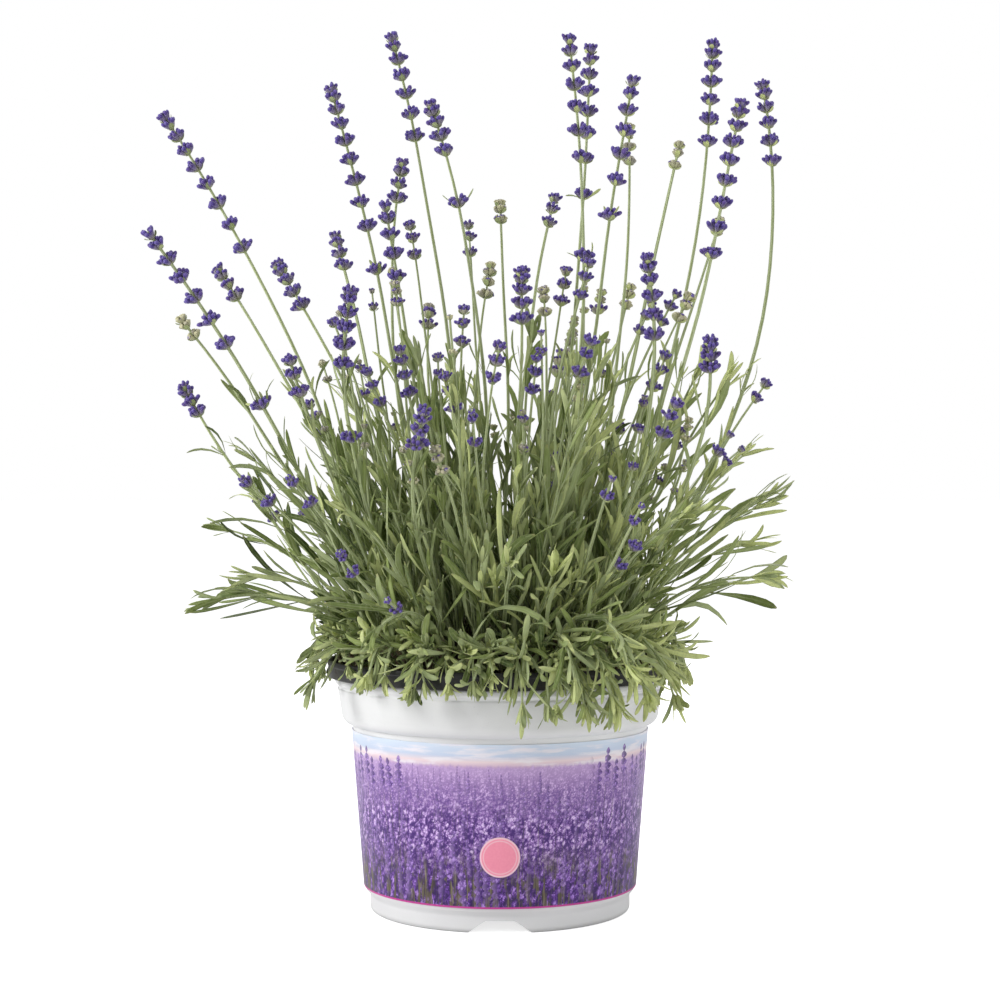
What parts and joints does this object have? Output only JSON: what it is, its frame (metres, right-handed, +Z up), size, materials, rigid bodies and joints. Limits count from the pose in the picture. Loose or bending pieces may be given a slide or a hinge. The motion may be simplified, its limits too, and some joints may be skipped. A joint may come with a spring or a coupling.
{
  "type": "potted lavender",
  "caption": "Lavender plant with upright flower stalks and narrow grey-green leaves, in a grower's pot that hangs by its rim in a round tapered cover pot with a printed wrap label.",
  "frame": {"origin": "on the pots' axis, at the level of the cover pot's feet", "axes": "+Z up along the pots' axis, -Y the front with the badge, +X to the right seen from the front"},
  "size_m": [0.3964, 0.3312, 0.5198],
  "materials": {
    "cover_pot_plastic": "white, satin, injection moulded",
    "label_print": "satin printed wrap, lavender field",
    "badge_print": "satin pink sticker",
    "grow_pot_plastic": "black, slightly rough",
    "potting_soil": "matt, crumbly peat",
    "crown_bark": "rough grey-brown bark",
    "flower_stalk": "green downy stem with violet buds",
    "leafy_shoot": "grey-green, finely felted"
  },
  "bodies": {
    "root": {"cover_pot": "cover_pot_plastic", "label": "label_print", "badge": "badge_print", "grow_pot": "grow_pot_plastic", "soil": "potting_soil", "woody_crown": "crown_bark", "flower_stalk_01": "flower_stalk", "flower_stalk_02": "flower_stalk", "flower_stalk_03": "flower_stalk", "flower_stalk_04": "flower_stalk", "flower_stalk_05": "flower_stalk", "flower_stalk_06": "flower_stalk", "flower_stalk_07": "flower_stalk", "flower_stalk_08": "flower_stalk", "flower_stalk_09": "flower_stalk", "flower_stalk_10": "flower_stalk", "flower_stalk_11": "flower_stalk", "flower_stalk_12": "flower_stalk", "flower_stalk_13": "flower_stalk", "flower_stalk_14": "flower_stalk", "flower_stalk_15": "flower_stalk", "flower_stalk_16": "flower_stalk", "flower_stalk_17": "flower_stalk", "flower_stalk_18": "flower_stalk", "flower_stalk_19": "flower_stalk", "flower_stalk_20": "flower_stalk", "flower_stalk_21": "flower_stalk", "flower_stalk_22": "flower_stalk", "flower_stalk_23": "flower_stalk", "flower_stalk_24": "flower_stalk", "flower_stalk_25": "flower_stalk", "flower_stalk_26": "flower_stalk", "flower_stalk_27": "flower_stalk", "flower_stalk_28": "flower_stalk", "leafy_shoot_01": "leafy_shoot", "leafy_shoot_02": "leafy_shoot", "leafy_shoot_03": "leafy_shoot", "leafy_shoot_04": "leafy_shoot", "leafy_shoot_05": "leafy_shoot", "leafy_shoot_06": "leafy_shoot", "leafy_shoot_07": "leafy_shoot", "leafy_shoot_08": "leafy_shoot", "leafy_shoot_09": "leafy_shoot", "leafy_shoot_10": "leafy_shoot", "leafy_shoot_11": "leafy_shoot", "leafy_shoot_12": "leafy_shoot", "leafy_shoot_13": "leafy_shoot", "leafy_shoot_14": "leafy_shoot", "leafy_shoot_15": "leafy_shoot", "leafy_shoot_16": "leafy_shoot", "leafy_shoot_17": "leafy_shoot", "leafy_shoot_18": "leafy_shoot", "leafy_shoot_19": "leafy_shoot", "leafy_shoot_20": "leafy_shoot", "leafy_shoot_21": "leafy_shoot", "leafy_shoot_22": "leafy_shoot", "leafy_shoot_23": "leafy_shoot"}
  },
  "joints": []
}
